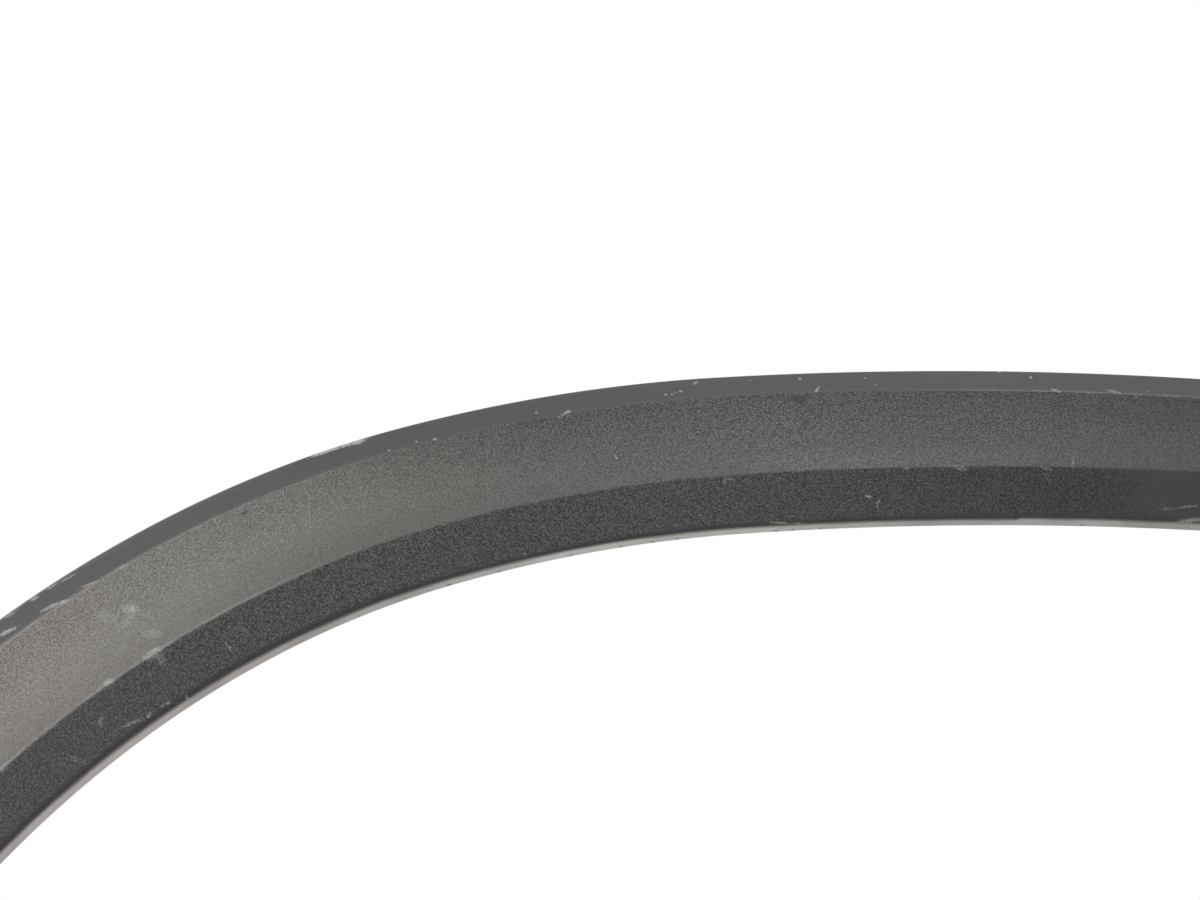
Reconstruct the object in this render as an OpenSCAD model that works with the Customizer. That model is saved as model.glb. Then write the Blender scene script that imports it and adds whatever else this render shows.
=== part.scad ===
// Wheel arch trim: one moulded plastic strip with its push-in clips and their seals.
// It stands as on the car: X along the car, Z up, the grained face towards -Y.
// The origin is on the axis of the locating peg, in the plane that seats on the wing.

/* [Arch outline, measured along the outer edge] */
// Radius of the nearly flat crown
crown_r = 1200; // [1000:10:1500]
// Angle of the crown to each side of the middle
crown_sweep = 6.5; // [5:0.5:8]
// Radius of the haunch between crown and shoulder
haunch_r = 465; // [430:5:520]
// Angle of the haunch
haunch_sweep = 13.6; // [11:0.2:16]
// Radius of the shoulder, the tightest part of the arch
shoulder_r = 318; // [290:2:350]
// Angle of the shoulder
shoulder_sweep = 53.9; // [48:0.1:58]
// Radius of the leg, which runs down almost straight
leg_r = 650; // [500:10:900]
// Angle of the leg
leg_sweep = 12; // [9:0.5:14]

/* [Cross-section] */
// Width of the whole band, from the outer edge to the foot of the inner lip
band_w = 61.4; // [60:0.2:64]
// Thickness of the moulded wall
wall = 2.6; // [2.2:0.1:3]
// Width of the smooth border along the outer edge
strip_w = 8; // [6:0.5:10]
// Height of the outer edge above the seating plane
edge_h = 3; // [2.8:0.1:3.6]
// Rise of the smooth border across its width
strip_rise = 0.2; // [0:0.1:0.6]
// Distance of the ridge from the outer edge
ridge_in = 46; // [44:0.5:48]
// Height of the ridge above the seating plane
ridge_h = 15.5; // [14:0.5:18]
// Height of the inner lip's upper corner
lip_h = 6.2; // [5.6:0.1:6.8]
// Height of the inner lip's face
lip_t = 3.4; // [3:0.1:3.8]
// Draft of the inner lip's face, across the band
lip_draft = 0.6; // [0.2:0.1:1]
// Width of the bead that touches the wing along the outer edge
bead_w = 2; // [1.5:0.1:3]
// Radius on the ridge
ridge_radius = 1.2; // [0.8:0.1:2]
// Radius on the outer edge
edge_radius = 1; // [0.5:0.1:1.4]
// Radius in the crease between border and main face
crease_radius = 4; // [2:0.5:6]
// Radius between the lower face and the lip
lip_radius = 1.5; // [0.8:0.1:1.8]

/* [Clip towers] */
// Distance of the line of fixings from the outer edge
fixing_in = 31; // [30:0.5:32]
// Distance of the first clip from the middle of the arch
clip_first = 75; // [65:1:90]
// Distance from clip to clip
clip_pitch = 125; // [110:1:140]
// Length of a tower along the arch
tower_l = 20; // [19:0.5:24]
// Width of a tower across the band
tower_w = 17; // [16.5:0.5:18]
// Thickness of a tower's side walls
tower_wall = 1.6; // [1.2:0.1:1.8]
// Height of a tower's plate above the seating plane
plate_h = 1.6; // [1.4:0.1:1.8]
// Thickness of a tower's plate
plate_t = 1.8; // [1.6:0.1:2]
// Gap between a clip's neck and the sides of the tower's slot
neck_gap = 0.3; // [0.2:0.05:0.5]

/* [Panel clips] */
// Diameter of the foot disc inside the tower
foot_d = 12; // [11:0.5:12.5]
// Thickness of the foot disc
foot_t = 1.4; // [1.2:0.1:1.5]
// Diameter of the neck through the tower's slot
neck_d = 6.4; // [6:0.1:7]
// Diameter of the flange outside the tower
flange_d = 15; // [14:0.5:16]
// Thickness of the flange
flange_t = 1.2; // [1:0.1:1.3]
// Diameter of the stem under its wings
stem_d = 6; // [5.6:0.1:6.4]
// Largest diameter of the wings that snap behind the panel
wing_d = 9.6; // [9:0.1:10.4]
// Diameter of the clip's tip
tip_d = 3.6; // [3:0.1:4.2]
// Distance from the flange to the wings
wing_at = 3.6; // [3.2:0.1:4.4]
// Length from the flange to the tip
stem_l = 14; // [13:0.5:17]
// Width of the slot that lets the wings spring
spring_slot = 1.6; // [1.2:0.1:2]

/* [Clip seals] */
// Outer diameter of the foam ring
seal_d = 17; // [16:0.5:18]
// Thickness of the foam ring before it is squeezed
seal_t = 1.8; // [1.4:0.1:2.2]
// Gap between the foam ring and the stem
seal_gap = 0.3; // [0.2:0.05:0.5]

/* [Locating peg] */
// Diameter of the peg
peg_d = 8; // [7:0.5:9]
// Length of the peg beyond the seating plane
peg_l = 9; // [7:0.5:12]
// Chamfer on the peg's end
peg_chamfer = 1.2; // [0.8:0.1:1.6]
// Diameter of the boss that carries the peg and seats on the wing
boss_d = 13; // [11:0.5:15]
// Reach of the fins beyond the boss
fin_reach = 4; // [3:0.5:5]
// Height of the fins' edge above the seating plane
fin_h = 2.5; // [2:0.5:4]

/* [Webs and leg ends] */
// Thickness of the cross webs and fins
web_t = 1.4; // [1.2:0.1:1.8]
// Distance from the outer edge at which a cross web starts
web_in = 22; // [18:1:26]
// Thickness of the wall that closes each leg
end_wall = 2.4; // [2:0.1:3]
// Width of the screw tab below each leg
tab_w = 26; // [22:1:30]
// Thickness of the screw tab
tab_t = 2.6; // [2.2:0.1:3]
// Distance from the leg's end to the screw hole
tab_reach = 14; // [13:0.5:18]
// Diameter of the screw hole
screw_d = 6.5; // [5.5:0.5:8]
// Length of the gussets that brace the tab
gusset_l = 9; // [7:0.5:11]
// Height of the gussets above the seating plane
gusset_h = 6.6; // [5.5:0.1:7]

/* [Hidden] */
$fn = 180;
fillet_steps = 4;
full_turn = 360;
// Step between neighbouring arcs of the moulding, and how far one laps into the next
seam = 0.02;
seam_lap = 2;

plastic_grey = [0.27, 0.27, 0.28];
nylon_white = [0.86, 0.85, 0.80];
foam_black = [0.12, 0.12, 0.12];

// The outer edge is a chain of arcs that meet without a corner.
arc_radii = [crown_r, haunch_r, shoulder_r, leg_r];
arc_sweeps = [crown_sweep, haunch_sweep, shoulder_sweep, leg_sweep];
last_arc = len(arc_radii) - 1;

function total(values, count) = count <= 0 ? 0 : values[count - 1] + total(values, count - 1);
function outward(angle) = [sin(angle), cos(angle)];
function arc_start(i) = total(arc_sweeps, i);
function arc_length(i) = arc_radii[i] * arc_sweeps[i] * PI / 180;
function length_to(i) = i <= 0 ? 0 : arc_length(i - 1) + length_to(i - 1);
function arc_centre(i) = i == 0
    ? [0, fixing_in - crown_r]
    : arc_centre(i - 1) + (arc_radii[i - 1] - arc_radii[i]) * outward(arc_start(i));
function arc_of(distance, i = 0) =
    i == last_arc || distance <= length_to(i + 1) ? i : arc_of(distance, i + 1);
function angle_at(distance) = let (i = arc_of(distance))
    arc_start(i) + (distance - length_to(i)) / arc_radii[i] * 180 / PI;
function point_at(distance) = let (i = arc_of(distance))
    arc_centre(i) + arc_radii[i] * outward(angle_at(distance));

edge_length = length_to(last_arc + 1);

// The section is drawn as [distance from the outer edge, height above the seating plane],
// and its corners run round the wall with the plastic always on the same side.
front_corners = [
    [0, 0],
    [0, edge_h],
    [strip_w, edge_h + strip_rise],
    [ridge_in, ridge_h],
    [band_w - lip_draft, lip_h],
    [band_w, lip_h - lip_t]
];
last_front = len(front_corners) - 1;
ridge_corner = 3;
lip_corner = 4;

function unit(v) = v / norm(v);
function wall_normal(p, q) = let (d = unit(q - p)) [d[1], -d[0]];
// Corner q moved into the plastic, so that both its sides move by the depth.
function corner_behind(p, q, r, depth) = let (m = wall_normal(p, q), n = wall_normal(q, r))
    q + (m + n) * depth / (1 + m * n);
function behind(i, depth) = i == last_front
    ? front_corners[i] + wall_normal(front_corners[i - 1], front_corners[i]) * depth
    : corner_behind(front_corners[i - 1], front_corners[i], front_corners[i + 1], depth);
function wrapped(list, i) = list[(i + len(list)) % len(list)];
// The outline with every side moved into the plastic by the depth.
function shrunk(corners, depth) = [for (i = [0 : len(corners) - 1])
    corner_behind(wrapped(corners, i - 1), corners[i], wrapped(corners, i + 1), depth)];
// The points of a fillet that takes the place of corner q.
function fillet(p, q, r, radius) = let (
    u = unit(p - q),
    w = unit(r - q),
    half = acos(u * w) / 2,
    centre = q + unit(u + w) * radius / sin(half),
    first = q + u * radius / tan(half) - centre,
    turn = (first[0] * w[1] - first[1] * w[0] > 0 ? 1 : -1) * (180 - 2 * half)
) [for (k = [0 : fillet_steps]) let (a = turn * k / fillet_steps)
    centre + [first[0] * cos(a) - first[1] * sin(a), first[0] * sin(a) + first[1] * cos(a)]];
function rounded(corners, radii) = [for (i = [0 : len(corners) - 1])
    each radii[i] == 0
        ? [corners[i]]
        : fillet(wrapped(corners, i - 1), corners[i], wrapped(corners, i + 1), radii[i])];

section_corners = concat(
    front_corners,
    [for (i = [last_front : -1 : 2]) behind(i, wall)],
    [[bead_w, behind(1, wall)[1]], [bead_w, 0]]
);
section_radii = [0, edge_radius, crease_radius, ridge_radius, lip_radius, 0, 0, 0, 0, 0, 0, 0];

// Height of the main face, and of the middle of its wall, at a distance from the outer edge.
main_slope = (ridge_h - edge_h - strip_rise) / (ridge_in - strip_w);
function main_height(s) = edge_h + strip_rise + (s - strip_w) * main_slope;
function mid_wall_height(s) = main_height(s) - wall / 2;

clip_reach = tower_l / 2 + clip_pitch / 4;
clips_per_side = floor((edge_length - clip_first - clip_reach) / clip_pitch) + 1;
clip_distances = [for (k = [0 : clips_per_side - 1]) clip_first + k * clip_pitch];
web_distances = [for (d = clip_distances) each [d - clip_pitch / 4, d + clip_pitch / 4]];

flange_h = plate_h - flange_t;
slot_w = neck_d + 2 * neck_gap;

// Everything is drawn face up, with the arch in the XY plane, and then stood upright.
module upright() {
    rotate([90, 0, 0])
        children();
}

module both_sides() {
    children();
    mirror([1, 0, 0])
        children();
}

// Local X runs along the arch away from its middle, local Y points out of the arch.
module on_edge(distance) {
    translate(point_at(distance))
        rotate([0, 0, -angle_at(distance)])
            children();
}

module on_fixing_line(distance) {
    on_edge(distance)
        translate([0, -fixing_in, 0])
            children();
}

// A plate across the band, drawn with the section's own points.
module cross_plate(points, thickness) {
    rotate([90, 0, 90])
        linear_extrude(height = thickness)
            polygon([for (p = points) [-p[0], p[1]]]);
}

// Every other arc is thinner by a seam and laps into its neighbours, so that the arcs join.
module arc_of_band(i) {
    thinned = i % 2;
    lap_angle = thinned * seam_lap / arc_radii[i] * 180 / PI;
    from = i == 0 ? -crown_sweep : arc_start(i) - lap_angle;
    to = arc_start(i + 1) + (i == last_arc ? 0 : lap_angle);
    outline = rounded(shrunk(section_corners, thinned * seam), section_radii);
    translate(arc_centre(i))
        rotate([0, 0, 90 - to])
            rotate_extrude(angle = to - from, $fn = full_turn)
                polygon([for (p = outline) [arc_radii[i] - p[0], p[1]]]);
}

module shell() {
    arc_of_band(0);
    both_sides()
        for (i = [1 : last_arc])
            arc_of_band(i);
}

// A clip slides into the tower's open end, with its neck in the slot of the plate.
module clip_tower() {
    low = fixing_in - tower_w / 2;
    high = fixing_in + tower_w / 2;
    room_low = low + tower_wall;
    room_high = high - tower_wall;
    room_h = plate_h + plate_t;
    difference() {
        translate([-tower_l / 2, 0, 0])
            cross_plate([[low, plate_h], [high, plate_h],
                [high, mid_wall_height(high)], [low, mid_wall_height(low)]], tower_l);
        translate([-tower_l / 2 + tower_wall, 0, 0])
            cross_plate([[room_low, room_h], [room_high, room_h],
                [room_high, main_height(room_high)], [room_low, main_height(room_low)]], tower_l);
        translate([0, -fixing_in, 0])
            cylinder(d = slot_w, h = room_h + wall);
        translate([0, -fixing_in - slot_w / 2, 0])
            cube([tower_l, slot_w, room_h + wall]);
    }
}

module locating_peg() {
    base_h = mid_wall_height(fixing_in);
    span = boss_d / 2 + fin_reach;
    low = fixing_in - span;
    high = fixing_in + span;
    difference() {
        rotate_extrude()
            polygon([[0, -peg_l], [peg_d / 2 - peg_chamfer, -peg_l], [peg_d / 2, peg_chamfer - peg_l],
                [peg_d / 2, 0], [boss_d / 2, 0], [boss_d / 2, ridge_h], [0, ridge_h]]);
        translate([-boss_d, fixing_in, 0])
            cross_plate([[low, mid_wall_height(low)], [high, mid_wall_height(high)],
                [high, 2 * ridge_h], [low, 2 * ridge_h]], 2 * boss_d);
    }
    translate([-span, -web_t / 2, fin_h])
        cube([2 * span, web_t, base_h - fin_h]);
    translate([-web_t / 2, fixing_in, 0])
        cross_plate([[low, fin_h], [high, fin_h],
            [high, mid_wall_height(high)], [low, mid_wall_height(low)]], web_t);
}

// A web ties the main face to the lower face behind the ridge.
module cross_web() {
    translate([-web_t / 2, 0, 0])
        cross_plate([[web_in, mid_wall_height(web_in)], behind(ridge_corner, wall / 2),
            behind(lip_corner, wall / 2)], web_t);
}

module leg_end() {
    translate([-end_wall, 0, 0])
        cross_plate(concat([[wall / 2, 0]], [for (i = [1 : last_front]) behind(i, wall / 2)],
            [[band_w - 2 * wall, 0]]), end_wall);
    translate([0, -fixing_in, 0]) {
        difference() {
            union() {
                translate([-end_wall / 2, -tab_w / 2, 0])
                    cube([tab_reach + end_wall / 2, tab_w, tab_t]);
                translate([tab_reach, 0, 0])
                    cylinder(d = tab_w, h = tab_t);
            }
            translate([tab_reach, 0, -tab_t])
                cylinder(d = screw_d, h = 3 * tab_t);
        }
        for (side = [-1, 1])
            translate([0, side * (tab_w - web_t) / 2 + web_t / 2, 0])
                rotate([90, 0, 0])
                    linear_extrude(height = web_t)
                        polygon([[-end_wall / 2, tab_t / 2], [gusset_l, tab_t / 2],
                            [0, gusset_h], [-end_wall / 2, gusset_h]]);
    }
}

module arch_moulding() {
    color(plastic_grey)
        upright() {
            shell();
            locating_peg();
            both_sides() {
                for (d = clip_distances)
                    on_edge(d)
                        clip_tower();
                for (d = web_distances)
                    on_edge(d)
                        cross_web();
                on_edge(edge_length)
                    leg_end();
            }
        }
}

module panel_clip() {
    foot_h = plate_h + plate_t;
    difference() {
        rotate_extrude()
            polygon([[0, foot_h + foot_t], [foot_d / 2, foot_h + foot_t], [foot_d / 2, foot_h],
                [neck_d / 2, foot_h], [neck_d / 2, plate_h], [flange_d / 2, plate_h],
                [flange_d / 2, flange_h], [stem_d / 2, flange_h], [stem_d / 2, flange_h - wing_at],
                [wing_d / 2, flange_h - wing_at - (wing_d - stem_d) / 2],
                [tip_d / 2, flange_h - stem_l], [0, flange_h - stem_l]]);
        translate([-wing_d, -spring_slot / 2, flange_h - stem_l + tip_d / 2])
            cube([2 * wing_d, spring_slot, stem_l - tip_d / 2 - wing_at / 2]);
    }
}

module panel_clips() {
    color(nylon_white)
        upright()
            both_sides()
                for (d = clip_distances)
                    on_fixing_line(d)
                        panel_clip();
}

module clip_seal() {
    translate([0, 0, flange_h - seal_t])
        difference() {
            cylinder(d = seal_d, h = seal_t);
            translate([0, 0, -seal_t])
                cylinder(d = stem_d + 2 * seal_gap, h = 3 * seal_t);
        }
}

module clip_seals() {
    color(foam_black)
        upright()
            both_sides()
                for (d = clip_distances)
                    on_fixing_line(d)
                        clip_seal();
}

arch_moulding();
panel_clips();
clip_seals();
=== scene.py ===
"""A worn wheel arch trim: the moulding with its wear and grain, its push-in clips and their seals."""

import math

import bmesh
import bpy
from mathutils import Matrix, Vector
from mathutils.noise import noise as noise_at


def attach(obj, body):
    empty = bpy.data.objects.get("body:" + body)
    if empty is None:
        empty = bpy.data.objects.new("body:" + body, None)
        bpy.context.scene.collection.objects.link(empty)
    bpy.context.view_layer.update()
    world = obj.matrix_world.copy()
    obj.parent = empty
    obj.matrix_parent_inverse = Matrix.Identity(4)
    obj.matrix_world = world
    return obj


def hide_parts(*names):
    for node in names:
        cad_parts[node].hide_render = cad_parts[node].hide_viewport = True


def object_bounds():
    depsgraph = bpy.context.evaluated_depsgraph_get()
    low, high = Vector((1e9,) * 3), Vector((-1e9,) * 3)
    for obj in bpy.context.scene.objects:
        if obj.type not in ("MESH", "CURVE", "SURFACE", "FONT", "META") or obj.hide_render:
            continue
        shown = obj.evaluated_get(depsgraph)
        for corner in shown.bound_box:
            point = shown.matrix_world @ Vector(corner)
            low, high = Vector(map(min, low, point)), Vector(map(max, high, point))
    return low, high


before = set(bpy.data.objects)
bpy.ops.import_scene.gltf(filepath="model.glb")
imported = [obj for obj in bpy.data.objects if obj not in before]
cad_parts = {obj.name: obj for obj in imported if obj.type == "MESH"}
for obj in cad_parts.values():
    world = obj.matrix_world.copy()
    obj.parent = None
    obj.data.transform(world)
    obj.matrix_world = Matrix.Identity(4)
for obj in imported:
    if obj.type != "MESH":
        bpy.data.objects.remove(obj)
cad_box = [list(corner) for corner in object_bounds()]

# Camera
# The photograph was taken from the open side of the arch, looking over the crown and the left shoulder.
# Its place is worked out from the outline of the arch, so the view stands as the photograph has it.
photo_width_pixels = 1200
photo_focal_pixels = 1500
photo_azimuth = math.radians(-2.25)
photo_elevation = math.radians(-30.73)
photo_roll = math.radians(0.96)
photo_target = Vector((-0.17559, -0.003, -0.00797))
photo_distance = 0.49857


def in_scene(thing):
    """An object, linked into the scene."""
    bpy.context.scene.collection.objects.link(thing)
    return thing


towards_camera = Vector((
    math.sin(photo_azimuth) * math.cos(photo_elevation),
    -math.cos(photo_azimuth) * math.cos(photo_elevation),
    math.sin(photo_elevation)))
camera_level = Vector((0, 0, 1)).cross(towards_camera).normalized()
camera_right = Matrix.Rotation(photo_roll, 3, towards_camera) @ camera_level
camera_up = towards_camera.cross(camera_right)

camera_data = bpy.data.cameras.new("photo_camera")
camera_data.sensor_fit = "HORIZONTAL"
camera_data.lens = camera_data.sensor_width * photo_focal_pixels / photo_width_pixels
camera_data.clip_start = 0.01
camera = bpy.data.objects.new("photo_camera", camera_data)
camera.matrix_world = Matrix.Translation(photo_target + towards_camera * photo_distance) @ Matrix((
    camera_right, camera_up, towards_camera)).transposed().to_4x4()
bpy.context.scene.camera = in_scene(camera)

# Arch outline
# The outer edge is a chain of arcs: a nearly flat crown, a haunch, a tight shoulder and a straighter leg.
# Both halves are alike, and the edge is followed from the left leg over the crown to the right leg.
arc_radii = (1.200, 0.465, 0.318, 0.650)
arc_sweeps = tuple(math.radians(sweep) for sweep in (6.5, 13.6, 53.9, 12))
fixing_inset = 0.031
half_edge = sum(radius * sweep for radius, sweep in zip(arc_radii, arc_sweeps))
outline_step = 0.0022


def right_half_point(distance):
    """The outer edge at a distance from the crown, as (x, z)."""
    centre = Vector((0, fixing_inset - arc_radii[0]))
    start = 0.0
    for k, (radius, sweep) in enumerate(zip(arc_radii, arc_sweeps)):
        if k:
            centre += (arc_radii[k - 1] - radius) * Vector((math.sin(start), math.cos(start)))
        last = k == len(arc_radii) - 1
        if distance <= radius * sweep or last:
            angle = start + distance / radius
            return centre + radius * Vector((math.sin(angle), math.cos(angle)))
        distance -= radius * sweep
        start += sweep


outline_count = 2 * round(half_edge / outline_step)
outline_data = bpy.data.curves.new("arch_outline", "CURVE")
outline_data.dimensions = "3D"
outline_spline = outline_data.splines.new("POLY")
outline_spline.points.add(outline_count)
for k, point in enumerate(outline_spline.points):
    signed = half_edge * (2 * k / outline_count - 1)
    x, z = right_half_point(abs(signed))
    point.co = (math.copysign(x, signed), 0, z, 1)
arch_outline = bpy.data.objects.new("arch_outline", outline_data)

# Section of the band
# One wall of plastic: a smooth border, the main face rising to a ridge, the lower face and a short lip.
# Points are (height above the seating plane, distance from the outer edge), as the wall runs round.
wall = 0.0026
edge_height = 0.003
border_width = 0.008
border_rise = 0.0002
ridge_inset = 0.046
ridge_height = 0.01548
band_width = 0.0614
lip_draft = 0.0006
lip_height = 0.0062
lip_face = 0.0034
bead_width = 0.002
# The rim stands in by this much, so that the rounded edges stay inside the solid model's box.
edge_in = 0.0001
front_corners = [Vector(corner) for corner in (
    (0, edge_in),
    (edge_height, edge_in),
    (edge_height + border_rise, border_width),
    (ridge_height, ridge_inset),
    (lip_height, band_width - lip_draft),
    (lip_height - lip_face, band_width))]


def into_wall(first, second):
    """The direction into the plastic from a side of the section."""
    along = (second - first).normalized()
    return Vector((-along.y, along.x))


def behind(k, depth=wall):
    """A front corner moved to the back of the wall."""
    before = into_wall(front_corners[k - 1], front_corners[k])
    if k == len(front_corners) - 1:
        return front_corners[k] + before * depth
    after = into_wall(front_corners[k], front_corners[k + 1])
    return front_corners[k] + (before + after) * depth / (1 + before.dot(after))


def filleted(before, corner, after, radius, steps):
    """The points of a fillet in place of a corner."""
    to_before = (before - corner).normalized()
    to_after = (after - corner).normalized()
    half = to_before.angle(to_after) / 2
    centre = corner + (to_before + to_after).normalized() * radius / math.sin(half)
    first = corner + to_before * radius / math.tan(half) - centre
    turn = math.copysign(math.pi - 2 * half, first.cross(to_after))
    return [centre + Matrix.Rotation(turn * k / steps, 2) @ first for k in range(steps + 1)]


back_corners = [behind(k) for k in range(len(front_corners) - 1, 1, -1)]
back_corners += [Vector((behind(1).x, bead_width)), Vector((0, bead_width))]
section_corners = front_corners + back_corners
# (radius, steps) of each corner, and the length of the cells on the side that follows it
edge_fillet, crease_fillet, ridge_fillet = (0.0010, 4), (0.004, 3), (0.0011, 5)
lip_fillet, foot_fillet, inner_fillet = (0.0015, 4), (0.0005, 3), (0.0008, 2)
section_fillets = [None, edge_fillet, crease_fillet, ridge_fillet, lip_fillet, foot_fillet,
                   None, inner_fillet, inner_fillet, None, None, None]
section_cells = [0.0015, 0.0018, 0.0026, 0.0022, 0.0011, 0.003, 0.02, 0.02, 0.02, 0.02, 0.001, 0.001]

rounded = []
for k, corner in enumerate(section_corners):
    before = section_corners[k - 1]
    after = section_corners[(k + 1) % len(section_corners)]
    fillet = section_fillets[k]
    rounded.append(filleted(before, corner, after, *fillet) if fillet else [corner])
section_points = []
for k, turn in enumerate(rounded):
    section_points += turn
    side_end = rounded[(k + 1) % len(rounded)][0]
    cells = max(1, round((side_end - turn[-1]).length / section_cells[k]))
    section_points += [turn[-1].lerp(side_end, cell / cells) for cell in range(1, cells)]

girths = [0.0]
for first, second in zip(section_points, section_points[1:]):
    girths.append(girths[-1] + (second - first).length)


def girth_at(inset):
    """How far round the front of the wall a point lies, given its distance from the outer edge."""
    for k, (first, second) in enumerate(zip(section_points, section_points[1:])):
        if first.x > 0 and first.y <= inset < second.y:
            share = (inset - first.y) / (second.y - first.y)
            return girths[k] + share * (girths[k + 1] - girths[k])
    raise ValueError(inset)


border_end = girth_at(border_width)
ridge_girth = girth_at(ridge_inset)
lip_girth = girth_at(band_width - lip_draft)
foot_girth = girths[section_points.index(rounded[5][-1])]
back_girth = 2 * foot_girth

section_data = bpy.data.curves.new("band_section", "CURVE")
section_data.dimensions = "3D"
section_spline = section_data.splines.new("POLY")
section_spline.points.add(len(section_points) - 1)
section_spline.use_cyclic_u = True
for point, (height, inset) in zip(section_spline.points, section_points):
    point.co = (height, inset, 0, 1)
band_section = bpy.data.objects.new("band_section", section_data)

# Clip tower
# A box moulded on the back of the main face, open at one end, with a slot in its plate.
# The clip's foot slides in at the open end, and its neck comes to rest in the slot's round end.
tower_length = 0.020
tower_width = 0.017
tower_wall = 0.0016
plate_height = 0.0016
plate_thickness = 0.0018
slot_radius = 0.0035
slot_steps = 10
moulded_bevel = 0.0002
bevel_over = math.radians(40)
# A wall that would share a plane with its neighbour stops this much short of it.
step_in = 0.00002


def main_face_height(inset):
    """Height of the middle of the main face's wall."""
    rise = (ridge_height - edge_height - border_rise) / (ridge_inset - border_width)
    return edge_height + border_rise + (inset - border_width) * rise - wall / 2


def add_prism(mesh, outline, lift):
    """A prism over a flat outline of points, moved by lift to its other end."""
    base = [mesh.verts.new(point) for point in outline]
    top = [mesh.verts.new(Vector(point) + lift) for point in outline]
    mesh.faces.new(base)
    mesh.faces.new(top)
    for k in range(len(outline)):
        following = (k + 1) % len(outline)
        mesh.faces.new((base[k], base[following], top[following], top[k]))


def across_plate(mesh, section, start, length):
    """A plate across the band: the section's points are (inset, height), and it runs along the arch."""
    outline = [Vector((start, -inset, height)) for inset, height in section]
    add_prism(mesh, outline, Vector((length, 0, 0)))


def wall_below(mesh, low, high, foot, start, length):
    """A wall behind the main face, between two distances from the outer edge, down to a foot."""
    across_plate(mesh, [(low, foot), (high, foot), (high, main_face_height(high)),
                        (low, main_face_height(low))], start, length)


def moulded_object(name, mesh, bevel=moulded_bevel):
    """An object for a moulded detail, with its edges softened and its faces turned outwards."""
    bmesh.ops.recalc_face_normals(mesh, faces=mesh.faces)
    if bevel:
        sharp = [edge for edge in mesh.edges if edge.calc_face_angle(0) > bevel_over]
        bmesh.ops.bevel(mesh, geom=sharp, offset=bevel, segments=2, affect="EDGES", profile=0.5)
    data = bpy.data.meshes.new(name)
    mesh.to_mesh(data)
    mesh.free()
    return bpy.data.objects.new(name, data)


tower_low = fixing_inset - tower_width / 2
tower_high = fixing_inset + tower_width / 2
tower_end = tower_length / 2
tower_top = plate_height + plate_thickness / 2
tower_mesh = bmesh.new()
for low in (tower_low + step_in, tower_high - tower_wall - step_in):
    wall_below(tower_mesh, low, low + tower_wall, tower_top, step_in - tower_end, tower_length - 2 * step_in)
wall_below(tower_mesh, tower_low + tower_wall / 2, tower_high - tower_wall / 2, tower_top,
           2 * step_in - tower_end, tower_wall)
plate_outline = [(tower_end, -tower_low), (tower_end, -fixing_inset + slot_radius)]
plate_outline += [(slot_radius * math.cos(turn), slot_radius * math.sin(turn) - fixing_inset)
                  for turn in (math.pi / 2 + math.pi * k / slot_steps for k in range(slot_steps + 1))]
plate_outline += [(tower_end, -fixing_inset - slot_radius), (tower_end, -tower_high),
                  (-tower_end, -tower_high), (-tower_end, -tower_low)]
add_prism(tower_mesh, [(x, y, plate_height) for x, y in plate_outline], Vector((0, 0, plate_thickness)))
clip_tower = moulded_object("clip_tower", tower_mesh)

# Cross web
# A thin web behind the ridge that keeps the main face and the lower face at their angle.
# It is moulded in one with them, on both sides of each tower.
web_thickness = 0.0014
web_inset = 0.022
web_section = [(web_inset, main_face_height(web_inset))]
web_section += [(corner.y, corner.x) for corner in (behind(3, wall / 2), behind(4, wall / 2))]
web_mesh = bmesh.new()
across_plate(web_mesh, web_section, -web_thickness / 2, web_thickness)
cross_web = moulded_object("cross_web", web_mesh)

# Locating peg
# A round peg on a boss at the crown, braced by two crossed fins, that places the trim on the wing.
# It is moulded in one with the main face, and enters a round hole of the wing.
peg_radius = 0.004
peg_length = 0.009
peg_chamfer = 0.0012
boss_radius = 0.0065
fin_span = boss_radius + 0.004
fin_height = 0.0025
lathe_steps = 48
peg_outline = [(0, -peg_length), (peg_radius - peg_chamfer, -peg_length),
               (peg_radius, peg_chamfer - peg_length), (peg_radius, 0), (boss_radius, 0)]


def add_lathe(mesh, outline, top_of):
    """A turned solid about the local Z axis; top_of gives the height of its closed end at a point."""
    turns = [2 * math.pi * k / lathe_steps for k in range(lathe_steps)]
    tip, *circles = outline
    tip = mesh.verts.new((0, 0, tip[1]))
    rings = [[mesh.verts.new((radius * math.cos(turn), radius * math.sin(turn), height)) for turn in turns]
             for radius, height in circles]
    rings.append([mesh.verts.new((vertex.co.x, vertex.co.y, top_of(vertex.co.y))) for vertex in rings[-1]])
    for k in range(lathe_steps):
        following = (k + 1) % lathe_steps
        mesh.faces.new((tip, rings[0][k], rings[0][following]))
        for lower, upper in zip(rings, rings[1:]):
            mesh.faces.new((lower[k], lower[following], upper[following], upper[k]))
    mesh.faces.new(rings[-1])


peg_mesh = bmesh.new()
add_lathe(peg_mesh, peg_outline, lambda y: main_face_height(fixing_inset - y))
bmesh.ops.translate(peg_mesh, verts=peg_mesh.verts, vec=(0, -fixing_inset, 0))
wall_below(peg_mesh, fixing_inset - fin_span, fixing_inset + fin_span, fin_height,
           -web_thickness / 2, web_thickness)
across_plate(peg_mesh, [(fixing_inset - web_thickness / 2, fin_height),
                        (fixing_inset + web_thickness / 2, fin_height),
                        (fixing_inset + web_thickness / 2, main_face_height(fixing_inset)),
                        (fixing_inset - web_thickness / 2, main_face_height(fixing_inset))],
             -fin_span, 2 * fin_span)
locating_peg = moulded_object("locating_peg", peg_mesh)

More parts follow.
